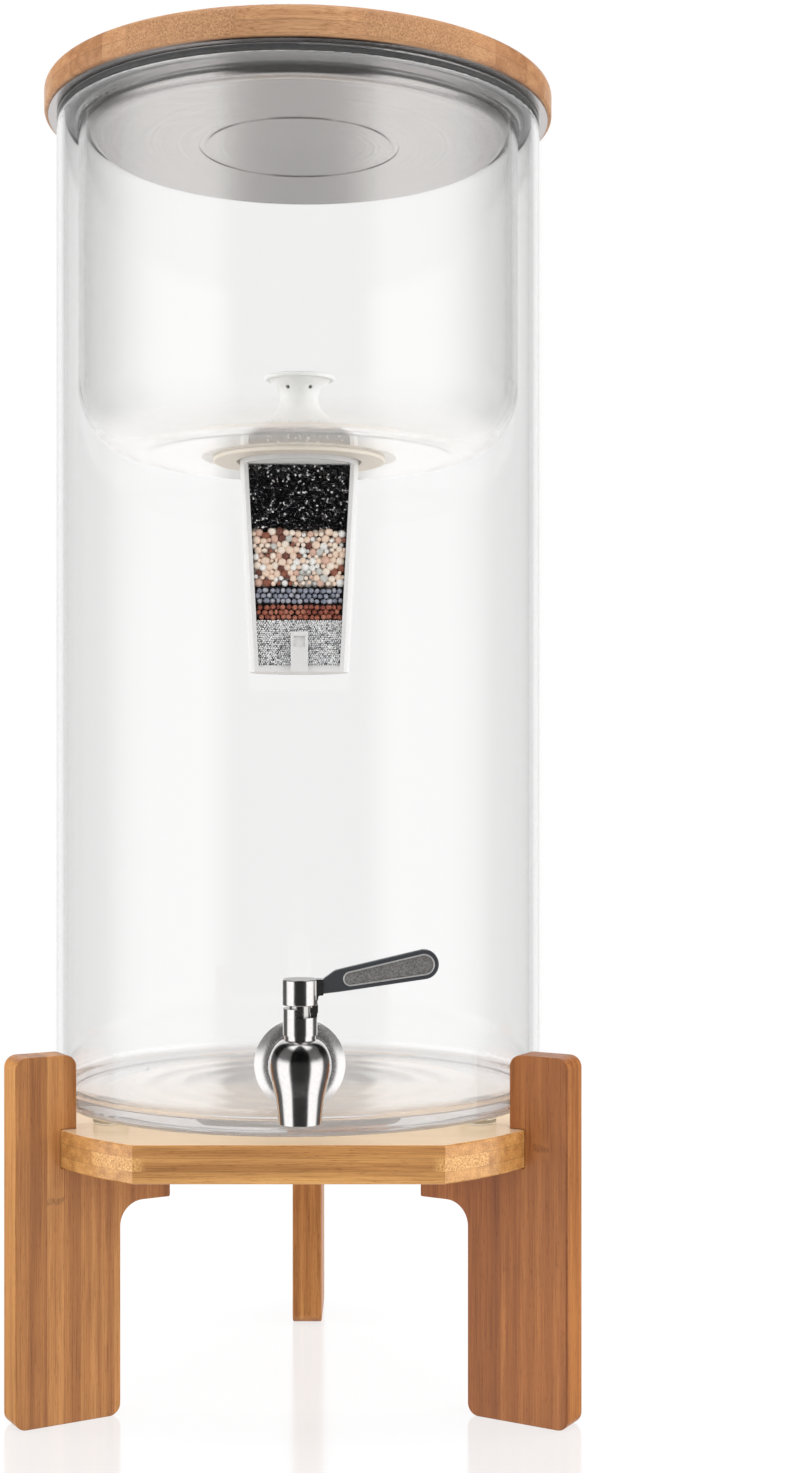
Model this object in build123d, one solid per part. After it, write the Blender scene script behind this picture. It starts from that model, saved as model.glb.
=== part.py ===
from build123d import *
import os
from math import cos, radians, sin, sqrt

# Countertop water dispenser: a glass tank on a three-legged bamboo stand, a glass filter bowl hung
# in the tank's mouth, a gravity filter cartridge in the bowl, a lid, and a quarter-turn faucet.
# Millimetres, +Z up. The origin is on the floor under the tank's axis. The faucet faces -Y.

MATCH = 0.05

# ---- stand ----
STAND_TURN = -2.6
LEG_AZIMUTH = {"leg_left": -150.0, "leg_right": -30.0, "leg_rear": 90.0}
LEG_HEIGHT = {"leg_left": 136.1, "leg_right": 136.1, "leg_rear": 121.0}
LEG_THICKNESS = 12.6
LEG_OUTER_R = 119.8
LEG_INNER_R = 78.5
LEG_TOP_INNER_R = 96.0
LEG_CORNER = 4.5
ARM_END_R = 58.3
ARM_DEPTH = 15.1
ARM_FILLET = 9.0
WOOD_EDGE = 0.7
BOARD_BOTTOM = 94.7
BOARD_THICKNESS = 14.0
BOARD_R = 102.3
BOARD_FLAT_R = 86.0
BOARD_TOP = BOARD_BOTTOM + BOARD_THICKNESS

# ---- fasteners of the stand: M4 socket-head screws into brass inserts ----
SCREW_R = 2.0
SCREW_CLEARANCE_R = 2.2
SCREW_HEAD_R = 3.5
SCREW_HEAD_HEIGHT = 4.0
SCREW_SOCKET_R = 1.7
SCREW_SOCKET_DEPTH = 2.0
SCREW_AT_R = 67.5
COUNTERBORE_R = 3.75
COUNTERBORE_DEPTH = 4.4
INSERT_R = 3.0
INSERT_LENGTH = 9.0
SCREW_REACH = 8.0

# ---- silicone rest pads between the board and the tank ----
PAD_R = 6.7
PAD_THICKNESS = 3.8
PAD_AT_R = 80.0
PAD_EDGE = 0.8

# ---- tank ----
TANK_R = 95.0
TANK_WALL = 3.0
TANK_BASE = 5.0
TANK_BOTTOM = BOARD_TOP + PAD_THICKNESS
TANK_RIM = 493.4
TANK_OUTER_CORNER = 4.0
TANK_INNER_CORNER = 5.0
RIM_ROUND = 1.0
TANK_PUNT_R = 70.0
TANK_PUNT_RISE = 1.2
TANK_RIPPLES = [(80.0, 0.0), (72.0, -0.09), (64.0, 0.09), (56.0, -0.09), (48.0, 0.1), (40.0, -0.1)]
TANK_RIPPLES += [(32.0, 0.1), (24.0, -0.1), (16.0, 0.1), (8.0, -0.1), (0.0, 0.05)]

# ---- bowl ----
BOWL_R = 86.6
BOWL_WALL = 2.8
BOWL_BASE = 3.0
BOWL_BOTTOM = 364.3
BOWL_CORNER = 26.0
BOWL_FLANGE = 2.8
BOWL_HOLE_R = 30.1
BOWL_TOP = TANK_RIM + BOWL_FLANGE

# ---- filter seal: a silicone grommet in the bowl's base ----
SEAL_CORE_R = 30.0
SEAL_LIP_R = 34.0
SEAL_LIP_THICKNESS = 1.4
SEAL_FLANGE_R = 38.5
SEAL_FLANGE_THICKNESS = 2.5
SEAL_BORE_R = 27.8
SEAL_LEDGE_R = 24.6
SEAL_EDGE = 0.6

# ---- cartridge ----
CUP_TOP_R = 23.6
CUP_BOTTOM_R = 19.6
CUP_WALL = 1.5
CUP_BASE = 1.8
CUP_BOTTOM = 279.8
CUP_RIM_R = 27.5
CUP_SEAT = 364.6
CUP_RIM_THICKNESS = 3.0
CUP_RIM_TOP = CUP_SEAT + CUP_RIM_THICKNESS
CUT_PLANE_Y = -9.0
CUT_TOP = 361.3
WINDOW_THICKNESS = 1.0
MEDIA_GAP = 0.2
SCREEN_THICKNESS = 0.8
DRAIN_HOLE_R = 1.0
DRAIN_RING_R = 11.0
DRAIN_HOLES = 12
KEY_WIDTH = 6.8
KEY_DEPTH = 2.6
KEY_HEIGHT = 15.6
KEY_RECESS = (4.4, 1.0, 4.2)
KEY_RECESS_Z = 291.6
MEDIA_LEVELS = {
    "media_silver_beads": (CUP_BOTTOM + CUP_BASE + SCREEN_THICKNESS, 300.4),
    "media_red_balls": (300.4, 306.8),
    "media_grey_balls": (306.8, 313.7),
    "media_mixed_balls": (313.7, 336.1),
    "media_carbon": (336.1, CUT_TOP),
}

# ---- cartridge cap ----
CAP_BRIM_TOP = 370.6
CAP_SKIRT_R = 15.8
CAP_NECK_R = 7.8
CAP_NECK_Z = 386.4
CAP_FLARE_R = 12.2
CAP_KNOB_R = 13.9
CAP_KNOB_THICKNESS = 2.0
CAP_KNOB_ROUND = 0.9
CAP_SKIRT_EASE = (0.45, 0.35)
CAP_WAIST_EASE = (0.45, 0.5)
CAP_KNOB_EASE = (0.3, 0.2)
CAP_TOP = 396.4
CAP_WALL = 1.5
CAP_PLUG_R = 21.8
CAP_SLOTS = 24
CAP_SLOT = (4.4, 1.2, 4.0)
CAP_SLOT_R = 16.4
CAP_SLOT_Z = 370.6
CAP_HOLES = 6
CAP_HOLE_R = 0.8
CAP_HOLE_Z = 390.6

# ---- lid ----
LINER_SHEET = 0.75
LID_R = 99.7
LID_BOTTOM = BOWL_TOP + LINER_SHEET
LID_TOP = 508.4
LID_TOP_ROUND = 3.2
LID_BOTTOM_ROUND = 1.0
LINER_FLANGE_R = 98.2
PAN_R = 82.8
PAN_BOTTOM = 487.3
PAN_CORNER = 3.0
EMBOSS_R = 38.0
EMBOSS_WIDTH = 1.6
EMBOSS_DEPTH = 0.35

# ---- faucet body ----
SPOUT_Y = -133.0
INLET_Z = 139.1
SPOUT_BOTTOM = 124.8
SPOUT_TIP_R = 7.1
SPOUT_WAIST_R = 8.2
SPOUT_WAIST_Z = 133.6
BULB_R = 10.15
BULB_Z = 143.2
BULB_TOP_R = 9.0
BULB_TOP_Z = 149.3
SHOULDER_Z = 152.4
SHOULDER_R = 5.8
SPOUT_TIP_SLOPE = (0.9, 10.0)
SHOULDER_SLOPE = (-1.0, 0.4)
OUTLET_R = 5.4
OUTLET_DEPTH = 6.0
THROAT_R = 3.0
SEAT_Z = 132.0
CHAMBER_R = 4.65
BONNET_THREAD_R = 5.4
BONNET_SEAT_Z = 145.6
NECK_FLANGE_R = 11.2
NECK_BULB_R = 7.6
NECK_BULB_Y = -127.5
NECK_FLANGE_EASE = (0.2, 9.0)
NECK_BULB_EASE = 12.0
SHANK_R = 7.5
SHANK_BORE_R = 3.8
SHANK_END_Y = -76.0

# ---- faucet fittings, from outside to inside along Y ----
FLANGE_R = 15.9
FLANGE_FRONT_Y = -100.2
FLANGE_BACK_Y = -97.2
FLANGE_RIM = 0.8
FLANGE_CROWN_R = 11.6
FLANGE_BULGE = 0.35
FLANGE_BORE_R = 7.6
GASKET_R = 14.6
GLASS_HOLE_R = 8.4
INNER_GASKET_R = 14.0
INNER_GASKET_Y = -88.6
WASHER_R = 13.0
WASHER_THICKNESS = 1.4
NUT_ACROSS_FLATS = 22.0
NUT_THICKNESS = 7.0
NUT_CHAMFER = 1.0

# ---- bonnet ----
BONNET_R = 5.7
BONNET_TOP = 162.8
BONNET_GROOVE_R = 5.2
BONNET_GROOVE_TOP = 154.0
NOTCH_FLOOR = 160.0
NOTCH_MARGIN = 1.0

# ---- lever: spindle, hub, blade ----
LEVER_TURN = 90.0
STEM_R = 3.6
STEM_FIT = 0.05
PLUG_R = CHAMBER_R - STEM_FIT
PORT_R = 2.4
RING_GROOVE_R = 3.7
RING_WIDTH = 1.6
RING_AT_Z = (135.0, 143.4)
HUB_R = 5.95
HUB_BOTTOM = 163.9
HUB_TOP = 172.5
HUB_EDGE = 0.4
STEM_TOP = 170.5
STOP_TAB_ANGLE = 12.0
STOP_TAB_BOTTOM = 161.2
STOP_TAB_TOP = 164.7
STOP_TAB_INNER_R = 3.95
SET_SCREW_R = 1.5
SOCKET_X = 7.7
SOCKET_WIDTH = 5.2
SOCKET_Z = (167.2, 172.5)
SOCKET_FILLET = 1.4
BLADE_THICKNESS = 3.4
BLADE_TONGUE_X = 4.6
BLADE_ROOT_X = 7.2
BLADE_ROOT_Z = (167.6, 172.2)
BLADE_HEEL = (13.0, 171.95, 3.65)
BLADE_TIP = (41.0, 177.2, 4.9)
BLADE_EDGE = 0.5
INLAY_MARGIN = 1.6
INLAY_HEEL = (16.6, 172.6)
INLAY_DEPTH = 0.6
INLAY_THICKNESS = 0.4


def save(node, shape):
    """Write one named piece to its own STEP file."""
    shape.label = node
    export_step(shape, f"parts/{node}.step")


def turned(outline):
    """Solid of revolution about Z from an outline of (radius, height) points."""
    return revolve(Plane.XZ * make_face(Polyline(*outline, close=True)), Axis.Z)


def rounded(face, corners):
    """Round the corners of a flat outline; corners is a list of (x, y, radius)."""
    for x, y, radius in corners:
        vertex = face.vertices().sort_by_distance(Vector(x, y, 0))[0]
        face = fillet(vertex, radius)
    return face


def turned_round(outline, corners):
    """Solid of revolution about Z from an outline whose corners are rounded."""
    face = make_face(Polyline(*outline, close=True))
    return revolve(Plane.XZ * rounded(face, corners), Axis.Z)


def disc(radius, bottom, top):
    """Plain upright cylinder between two heights."""
    return Pos(0, 0, (bottom + top) / 2) * Cylinder(radius, top - bottom)


def rod_y(radius, y_from, y_to):
    """Cylinder along Y on the faucet's inlet axis."""
    length = y_to - y_from
    return Pos(0, (y_from + y_to) / 2, INLET_Z) * Rot(90, 0, 0) * Cylinder(radius, length)


def slab(x, y, z):
    """Box from three (low, high) pairs."""
    size = [high - low for low, high in (x, y, z)]
    middle = [(high + low) / 2 for low, high in (x, y, z)]
    return Pos(*middle) * Box(*size)


def on_stand(shape, azimuth):
    """Place a shape drawn along +X at an azimuth of the stand."""
    return Rot(0, 0, azimuth + STAND_TURN) * shape


# ---------------------------------------------------------------- stand
def make_leg(height):
    """One leg, drawn in the XZ plane: an upright plank with an arm under the board."""
    arm_bottom = BOARD_BOTTOM - ARM_DEPTH
    outline = [
        (LEG_OUTER_R, 0),
        (LEG_OUTER_R, height),
        (LEG_TOP_INNER_R, height),
        (LEG_TOP_INNER_R, BOARD_TOP),
        (BOARD_R, BOARD_TOP),
        (BOARD_R, BOARD_BOTTOM),
        (ARM_END_R, BOARD_BOTTOM),
        (ARM_END_R, arm_bottom),
        (LEG_INNER_R, arm_bottom),
        (LEG_INNER_R, 0),
    ]
    corners = [
        (LEG_OUTER_R, 0, LEG_CORNER),
        (LEG_OUTER_R, height, LEG_CORNER),
        (LEG_TOP_INNER_R, height, LEG_CORNER),
        (ARM_END_R, arm_bottom, WOOD_EDGE),
        (LEG_INNER_R, arm_bottom, ARM_FILLET),
        (LEG_INNER_R, 0, LEG_CORNER),
    ]
    face = rounded(make_face(Polyline(*outline, close=True)), corners)
    plank = extrude(Plane.XZ * face, LEG_THICKNESS / 2, both=True)
    eased = [
        edge
        for edge in plank.edges()
        if abs(abs(edge.center().Y) - LEG_THICKNESS / 2) < MATCH
        and edge.center().Z not in (BOARD_TOP, BOARD_BOTTOM)
        and abs(edge.center().X - BOARD_R) > WOOD_EDGE
    ]
    plank = fillet(eased, WOOD_EDGE)
    bore = Pos(SCREW_AT_R, 0, 0) * disc(SCREW_CLEARANCE_R, arm_bottom, BOARD_BOTTOM)
    counterbore = disc(COUNTERBORE_R, arm_bottom, arm_bottom + COUNTERBORE_DEPTH)
    return plank - bore - Pos(SCREW_AT_R, 0, 0) * counterbore


def make_board():
    """Round board with three straight sides and a blind hole over each arm."""
    outline = Circle(BOARD_R)
    side = BOARD_R - BOARD_FLAT_R
    for azimuth in LEG_AZIMUTH.values():
        cut = Pos(-(BOARD_FLAT_R + side / 2), 0) * Rectangle(side, 2 * BOARD_R)
        outline -= Rot(0, 0, azimuth) * cut
    board = extrude(Pos(0, 0, BOARD_BOTTOM) * outline, BOARD_THICKNESS)
    rims = [edge for face in board.faces().filter_by(Axis.Z) for edge in face.edges()]
    board = fillet(rims, WOOD_EDGE)
    hole = Pos(SCREW_AT_R, 0, 0) * disc(INSERT_R, BOARD_BOTTOM, BOARD_BOTTOM + INSERT_LENGTH)
    for azimuth in LEG_AZIMUTH.values():
        board -= Rot(0, 0, azimuth) * hole
    return Rot(0, 0, STAND_TURN) * board


def make_screw():
    """Socket-head screw standing in its counterbore, head down."""
    head_bottom = BOARD_BOTTOM - ARM_DEPTH + COUNTERBORE_DEPTH - SCREW_HEAD_HEIGHT
    head_top = head_bottom + SCREW_HEAD_HEIGHT
    head = disc(SCREW_HEAD_R, head_bottom, head_top)
    shank = disc(SCREW_R, head_top, BOARD_BOTTOM + SCREW_REACH)
    socket = extrude(RegularPolygon(SCREW_SOCKET_R, 6), SCREW_SOCKET_DEPTH)
    return Pos(SCREW_AT_R, 0, 0) * (head + shank - Pos(0, 0, head_bottom) * socket)


def make_insert():
    """Threaded brass insert, shown as a plain sleeve."""
    top = BOARD_BOTTOM + INSERT_LENGTH
    sleeve = disc(INSERT_R, BOARD_BOTTOM, top) - disc(SCREW_R, BOARD_BOTTOM, top)
    return Pos(SCREW_AT_R, 0, 0) * sleeve


def make_pad():
    """Clear silicone disc under the tank."""
    pad = disc(PAD_R, BOARD_TOP, TANK_BOTTOM)
    return Pos(PAD_AT_R, 0, 0) * fillet(pad.edges().filter_by(GeomType.CIRCLE), PAD_EDGE)


def three_of(shape):
    """The same piece at each leg, as separate solids of one group."""
    return Compound(children=[on_stand(shape, azimuth) for azimuth in LEG_AZIMUTH.values()])


# ---------------------------------------------------------------- tank and bowl
def make_tank():
    """Straight glass cylinder with a hole for the faucet; its base is pressed, with faint rings."""
    inner = TANK_R - TANK_WALL
    floor = TANK_BOTTOM + TANK_BASE
    crown = TANK_BOTTOM + TANK_PUNT_RISE
    rings = [(radius, floor + rise) for radius, rise in TANK_RIPPLES]
    outline = [
        Bezier(
            (0, crown),
            (TANK_PUNT_R / 2, crown),
            (TANK_PUNT_R / 2, TANK_BOTTOM),
            (TANK_PUNT_R, TANK_BOTTOM),
        ),
        Polyline(
            (TANK_PUNT_R, TANK_BOTTOM),
            (TANK_R, TANK_BOTTOM),
            (TANK_R, TANK_RIM),
            (inner, TANK_RIM),
            (inner, floor),
            rings[0],
        ),
        Spline(*rings, tangents=[(-1, 0), (-1, 0)]),
        Line(rings[-1], (0, crown)),
    ]
    corners = [
        (TANK_R, TANK_BOTTOM, TANK_OUTER_CORNER),
        (TANK_R, TANK_RIM, RIM_ROUND),
        (inner, TANK_RIM, RIM_ROUND),
        (inner, floor, TANK_INNER_CORNER),
    ]
    glass = revolve(Plane.XZ * rounded(make_face(Curve() + outline), corners), Axis.Z)
    return glass - rod_y(GLASS_HOLE_R, -TANK_R, -inner / 2)


def make_bowl():
    """Glass bowl: a wide flange on the tank's rim, a straight wall and a holed base."""
    inner = BOWL_R - BOWL_WALL
    floor = BOWL_BOTTOM + BOWL_BASE
    outline = [
        (BOWL_HOLE_R, BOWL_BOTTOM),
        (BOWL_R, BOWL_BOTTOM),
        (BOWL_R, TANK_RIM),
        (TANK_R, TANK_RIM),
        (TANK_R, BOWL_TOP),
        (inner, BOWL_TOP),
        (inner, floor),
        (BOWL_HOLE_R, floor),
    ]
    corners = [
        (BOWL_R, BOWL_BOTTOM, BOWL_CORNER),
        (BOWL_R, TANK_RIM, BOWL_WALL),
        (TANK_R, TANK_RIM, RIM_ROUND),
        (TANK_R, BOWL_TOP, RIM_ROUND),
        (inner, BOWL_TOP, BOWL_WALL),
        (inner, floor, BOWL_CORNER - BOWL_WALL),
    ]
    return turned_round(outline, corners)


def make_seal():
    """Grommet gripping the bowl's base, with an inner ledge that carries the cartridge."""
    lip_bottom = BOWL_BOTTOM - SEAL_LIP_THICKNESS
    flange_bottom = BOWL_BOTTOM + BOWL_BASE
    flange_top = flange_bottom + SEAL_FLANGE_THICKNESS
    outline = [
        (SEAL_LEDGE_R, lip_bottom),
        (SEAL_LIP_R, lip_bottom),
        (SEAL_LIP_R, BOWL_BOTTOM),
        (SEAL_CORE_R, BOWL_BOTTOM),
        (SEAL_CORE_R, flange_bottom),
        (SEAL_FLANGE_R, flange_bottom),
        (SEAL_FLANGE_R, flange_top),
        (SEAL_BORE_R, flange_top),
        (SEAL_BORE_R, CUP_SEAT),
        (SEAL_LEDGE_R, CUP_SEAT),
    ]
    corners = [
        (SEAL_LIP_R, lip_bottom, SEAL_EDGE),
        (SEAL_FLANGE_R, flange_top, SEAL_EDGE),
        (SEAL_LEDGE_R, lip_bottom, SEAL_EDGE),
    ]
    return turned_round(outline, corners)


# ---------------------------------------------------------------- cartridge
def cup_radius(height):
    """Outer radius of the cup's tapered wall at a height."""
    share = (height - CUP_BOTTOM) / (CUP_SEAT - CUP_BOTTOM)
    return CUP_BOTTOM_R + share * (CUP_TOP_R - CUP_BOTTOM_R)


def cup_core(bottom, top, gap):
    """Solid that fills the cup's inside between two heights, less a gap at the wall."""
    low = cup_radius(bottom) - CUP_WALL - gap
    high = cup_radius(top) - CUP_WALL - gap
    return turned([(0, bottom), (low, bottom), (high, top), (0, top)])


def behind(shape, y):
    """Keep only what lies behind the plane at y."""
    reach = 2 * CUP_RIM_R
    return shape & slab((-reach, reach), (y, reach), (CUP_BOTTOM, CAP_TOP))


def make_cup():
    """Tapered cup with a rim, cut flat at the front, a drained base and a key block."""
    wall = turned(
        [
            (0, CUP_BOTTOM),
            (CUP_BOTTOM_R, CUP_BOTTOM),
            (CUP_TOP_R, CUP_SEAT),
            (CUP_RIM_R, CUP_SEAT),
            (CUP_RIM_R, CUP_RIM_TOP),
            (0, CUP_RIM_TOP),
        ]
    )
    cup = wall - cup_core(CUP_BOTTOM + CUP_BASE, CUP_RIM_TOP, 0)
    reach = 2 * CUP_RIM_R
    cup -= slab((-reach, reach), (-reach, CUT_PLANE_Y), (CUP_BOTTOM, CUT_TOP))
    hole = Pos(DRAIN_RING_R, 0, 0) * disc(DRAIN_HOLE_R, CUP_BOTTOM, CUP_BOTTOM + CUP_BASE)
    for index in range(DRAIN_HOLES):
        azimuth = index * 360 / DRAIN_HOLES
        if DRAIN_RING_R * sin(radians(azimuth)) > CUT_PLANE_Y + 2 * DRAIN_HOLE_R:
            cup -= Rot(0, 0, azimuth) * hole
    half = KEY_WIDTH / 2
    front = CUT_PLANE_Y - KEY_DEPTH
    key = slab((-half, half), (front, CUT_PLANE_Y), (CUP_BOTTOM, CUP_BOTTOM + KEY_HEIGHT))
    key -= Pos(0, front + KEY_RECESS[1] / 2, KEY_RECESS_Z) * Box(*KEY_RECESS)
    return cup + key


def make_window():
    """Clear pane that closes the cup's flat front."""
    pane = cup_core(CUP_BOTTOM + CUP_BASE, CUT_TOP, 0)
    reach = 2 * CUP_RIM_R
    rear = CUT_PLANE_Y + WINDOW_THICKNESS
    return pane & slab((-reach, reach), (CUT_PLANE_Y, rear), (CUP_BOTTOM, CUT_TOP))


def make_media(bottom, top):
    """One layer of filter media behind the pane."""
    return behind(cup_core(bottom, top, MEDIA_GAP), CUT_PLANE_Y + WINDOW_THICKNESS + MEDIA_GAP)


def cap_flare(wall):
    """Curve of the waisted neck, from the skirt up to the knob, moved in by the wall."""
    brim = CAP_BRIM_TOP - wall
    skirt = CAP_SKIRT_R - wall
    neck = CAP_NECK_R - wall
    flare = CAP_FLARE_R - wall
    knob = CAP_TOP - CAP_KNOB_THICKNESS
    below = CAP_NECK_Z - brim
    above = knob - CAP_NECK_Z
    lower = Bezier(
        (skirt, brim),
        (skirt - (skirt - neck) * CAP_SKIRT_EASE[0], brim + below * CAP_SKIRT_EASE[1]),
        (neck, CAP_NECK_Z - below * CAP_WAIST_EASE[0]),
        (neck, CAP_NECK_Z),
    )
    upper = Bezier(
        (neck, CAP_NECK_Z),
        (neck, CAP_NECK_Z + above * CAP_WAIST_EASE[1]),
        (flare - (flare - neck) * CAP_KNOB_EASE[0], knob - above * CAP_KNOB_EASE[1]),
        (flare, knob),
    )
    return [lower, upper]


def make_cap():
    """Snap-in cap: brim, slotted skirt, waisted neck and a round pull knob, hollow inside."""
    brim = CAP_BRIM_TOP
    inner_brim = brim - CAP_WALL
    inner_plug = CAP_PLUG_R - CAP_WALL
    knob = CAP_TOP - CAP_KNOB_THICKNESS
    outer = [
        Polyline(
            (CAP_SKIRT_R - CAP_WALL, inner_brim),
            (inner_plug, inner_brim),
            (inner_plug, CUP_SEAT),
            (CAP_PLUG_R, CUP_SEAT),
            (CAP_PLUG_R, CUP_RIM_TOP),
            (CUP_RIM_R, CUP_RIM_TOP),
            (CUP_RIM_R, brim),
            (CAP_SKIRT_R, brim),
        ),
        *cap_flare(0),
        Polyline(
            (CAP_FLARE_R, knob),
            (CAP_KNOB_R, knob),
            (CAP_KNOB_R, CAP_TOP),
            (0, CAP_TOP),
            (0, knob),
            (CAP_FLARE_R - CAP_WALL, knob),
        ),
        *cap_flare(CAP_WALL),
    ]
    cap = revolve(Plane.XZ * make_face(Curve() + outer), Axis.Z)
    knob_rims = [
        edge
        for edge in cap.edges().filter_by(GeomType.CIRCLE)
        if abs(edge.radius - CAP_KNOB_R) < MATCH
    ]
    cap = fillet(knob_rims, CAP_KNOB_ROUND)
    for index in range(CAP_SLOTS):
        place = Rot(0, 0, index * 360 / CAP_SLOTS)
        cap -= place * Pos(CAP_SLOT_R, 0, CAP_SLOT_Z) * Box(*CAP_SLOT)
    for index in range(CAP_HOLES):
        place = Rot(0, 0, index * 360 / CAP_HOLES) * Pos(CAP_NECK_R, 0, CAP_HOLE_Z)
        cap -= place * Rot(0, 90, 0) * Cylinder(CAP_HOLE_R, CAP_SKIRT_R / 2)
    return cap


# ---------------------------------------------------------------- lid
def make_lid_board():
    """Round bamboo board with an eased top edge."""
    outline = [(0, LID_BOTTOM), (LID_R, LID_BOTTOM), (LID_R, LID_TOP), (0, LID_TOP)]
    corners = [(LID_R, LID_TOP, LID_TOP_ROUND), (LID_R, LID_BOTTOM, LID_BOTTOM_ROUND)]
    return turned_round(outline, corners)


def make_liner():
    """Pressed steel pan: a flange under the board and a shallow plug that enters the bowl."""
    inner = PAN_R - LINER_SHEET
    floor = PAN_BOTTOM + LINER_SHEET
    outline = [
        (0, PAN_BOTTOM),
        (PAN_R, PAN_BOTTOM),
        (PAN_R, BOWL_TOP),
        (LINER_FLANGE_R, BOWL_TOP),
        (LINER_FLANGE_R, LID_BOTTOM),
        (inner, LID_BOTTOM),
        (inner, floor),
        (0, floor),
    ]
    corners = [
        (PAN_R, PAN_BOTTOM, PAN_CORNER),
        (inner, floor, PAN_CORNER - LINER_SHEET),
    ]
    bead = Pos(0, 0, PAN_BOTTOM) * Torus(EMBOSS_R, EMBOSS_WIDTH)
    bead &= disc(EMBOSS_R + EMBOSS_WIDTH, PAN_BOTTOM, PAN_BOTTOM + EMBOSS_DEPTH)
    return turned_round(outline, corners) - bead


# ---------------------------------------------------------------- faucet
def make_faucet_body():
    """Cast body: a tulip-shaped spout, a waisted neck behind it and a threaded shank."""
    outline = [
        Line((0, SPOUT_BOTTOM), (SPOUT_TIP_R, SPOUT_BOTTOM)),
        Spline(
            (SPOUT_TIP_R, SPOUT_BOTTOM),
            (SPOUT_WAIST_R, SPOUT_WAIST_Z),
            (BULB_R, BULB_Z),
            (BULB_TOP_R, BULB_TOP_Z),
            (SHOULDER_R, SHOULDER_Z),
            tangents=[SPOUT_TIP_SLOPE, SHOULDER_SLOPE],
        ),
        Line((SHOULDER_R, SHOULDER_Z), (0, SHOULDER_Z)),
        Line((0, SHOULDER_Z), (0, SPOUT_BOTTOM)),
    ]
    tulip = revolve(Plane.XZ * make_face(Curve() + outline), Axis.Z)
    body = Pos(0, SPOUT_Y, 0) * tulip
    neck = [
        Line((0, FLANGE_FRONT_Y), (NECK_FLANGE_R, FLANGE_FRONT_Y)),
        Bezier(
            (NECK_FLANGE_R, FLANGE_FRONT_Y),
            (NECK_FLANGE_R - NECK_FLANGE_EASE[0], FLANGE_FRONT_Y - NECK_FLANGE_EASE[1]),
            (NECK_BULB_R, NECK_BULB_Y + NECK_BULB_EASE),
            (NECK_BULB_R, NECK_BULB_Y),
        ),
        Line((NECK_BULB_R, NECK_BULB_Y), (0, NECK_BULB_Y)),
        Line((0, NECK_BULB_Y), (0, FLANGE_FRONT_Y)),
    ]
    neck_solid = revolve(make_face(Curve() + neck), Axis.Y)
    body += Pos(0, 0, INLET_Z) * neck_solid
    body += rod_y(SHANK_R, FLANGE_FRONT_Y, SHANK_END_Y)
    body -= rod_y(SHANK_BORE_R, SPOUT_Y, SHANK_END_Y)
    bores = [
        (OUTLET_R, SPOUT_BOTTOM, SPOUT_BOTTOM + OUTLET_DEPTH),
        (THROAT_R, SPOUT_BOTTOM, SEAT_Z),
        (CHAMBER_R, SEAT_Z, BONNET_SEAT_Z),
        (BONNET_THREAD_R, BONNET_SEAT_Z, SHOULDER_Z),
    ]
    for radius, bottom, top in bores:
        body -= Pos(0, SPOUT_Y, 0) * disc(radius, bottom, top)
    return body


def make_flange():
    """Round cover plate between the neck and the outer gasket, crowned towards the neck."""
    rim_y = FLANGE_BACK_Y - FLANGE_RIM
    middle = ((FLANGE_R + FLANGE_CROWN_R) / 2, (rim_y + FLANGE_FRONT_Y) / 2 - FLANGE_BULGE)
    outline = [
        Polyline(
            (FLANGE_CROWN_R, FLANGE_FRONT_Y),
            (FLANGE_BORE_R, FLANGE_FRONT_Y),
            (FLANGE_BORE_R, FLANGE_BACK_Y),
            (FLANGE_R, FLANGE_BACK_Y),
            (FLANGE_R, rim_y),
        ),
        ThreePointArc((FLANGE_R, rim_y), middle, (FLANGE_CROWN_R, FLANGE_FRONT_Y)),
    ]
    return Pos(0, 0, INLET_Z) * revolve(make_face(Curve() + outline), Axis.Y)


def make_outer_gasket():
    """Silicone ring, flat under the flange and curved to the glass."""
    ring = rod_y(GASKET_R, FLANGE_BACK_Y, -TANK_R / 2) - disc(TANK_R, TANK_BOTTOM, TANK_RIM)
    return ring - rod_y(FLANGE_BORE_R, FLANGE_BACK_Y, -TANK_R / 2)


def make_inner_gasket():
    """Silicone ring, curved to the inside of the glass and flat under the washer."""
    ring = rod_y(INNER_GASKET_R, -TANK_R, INNER_GASKET_Y)
    ring &= disc(TANK_R - TANK_WALL, TANK_BOTTOM, TANK_RIM)
    return ring - rod_y(FLANGE_BORE_R, -TANK_R, INNER_GASKET_Y)


def make_washer():
    """Steel washer inside the tank."""
    rear = INNER_GASKET_Y + WASHER_THICKNESS
    return rod_y(WASHER_R, INNER_GASKET_Y, rear) - rod_y(FLANGE_BORE_R, INNER_GASKET_Y, rear)


def make_nut():
    """Hexagon nut on the shank."""
    front = INNER_GASKET_Y + WASHER_THICKNESS
    rear = front + NUT_THICKNESS
    corner_r = NUT_ACROSS_FLATS / sqrt(3)
    hexagon = extrude(RegularPolygon(corner_r, 6), NUT_THICKNESS)
    nut = Pos(0, rear, INLET_Z) * Rot(90, 0, 0) * hexagon
    cone = rod_y(corner_r, front, rear)
    nut &= chamfer(cone.edges().filter_by(GeomType.CIRCLE), NUT_CHAMFER)
    return nut - rod_y(SHANK_R, front, rear)


def sector(radius, start, end, bottom, top):
    """Pie slice about Z between two azimuths of less than half a turn."""
    middle = (start + end) / 2
    reach = radius / cos(radians((end - start) / 4))
    points = [(0, 0)]
    for azimuth in (start, middle, end):
        points.append((2 * reach * cos(radians(azimuth)), 2 * reach * sin(radians(azimuth))))
    wedge = extrude(Pos(0, 0, bottom) * make_face(Polyline(*points, close=True)), top - bottom)
    return wedge & disc(radius, bottom, top)


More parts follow.
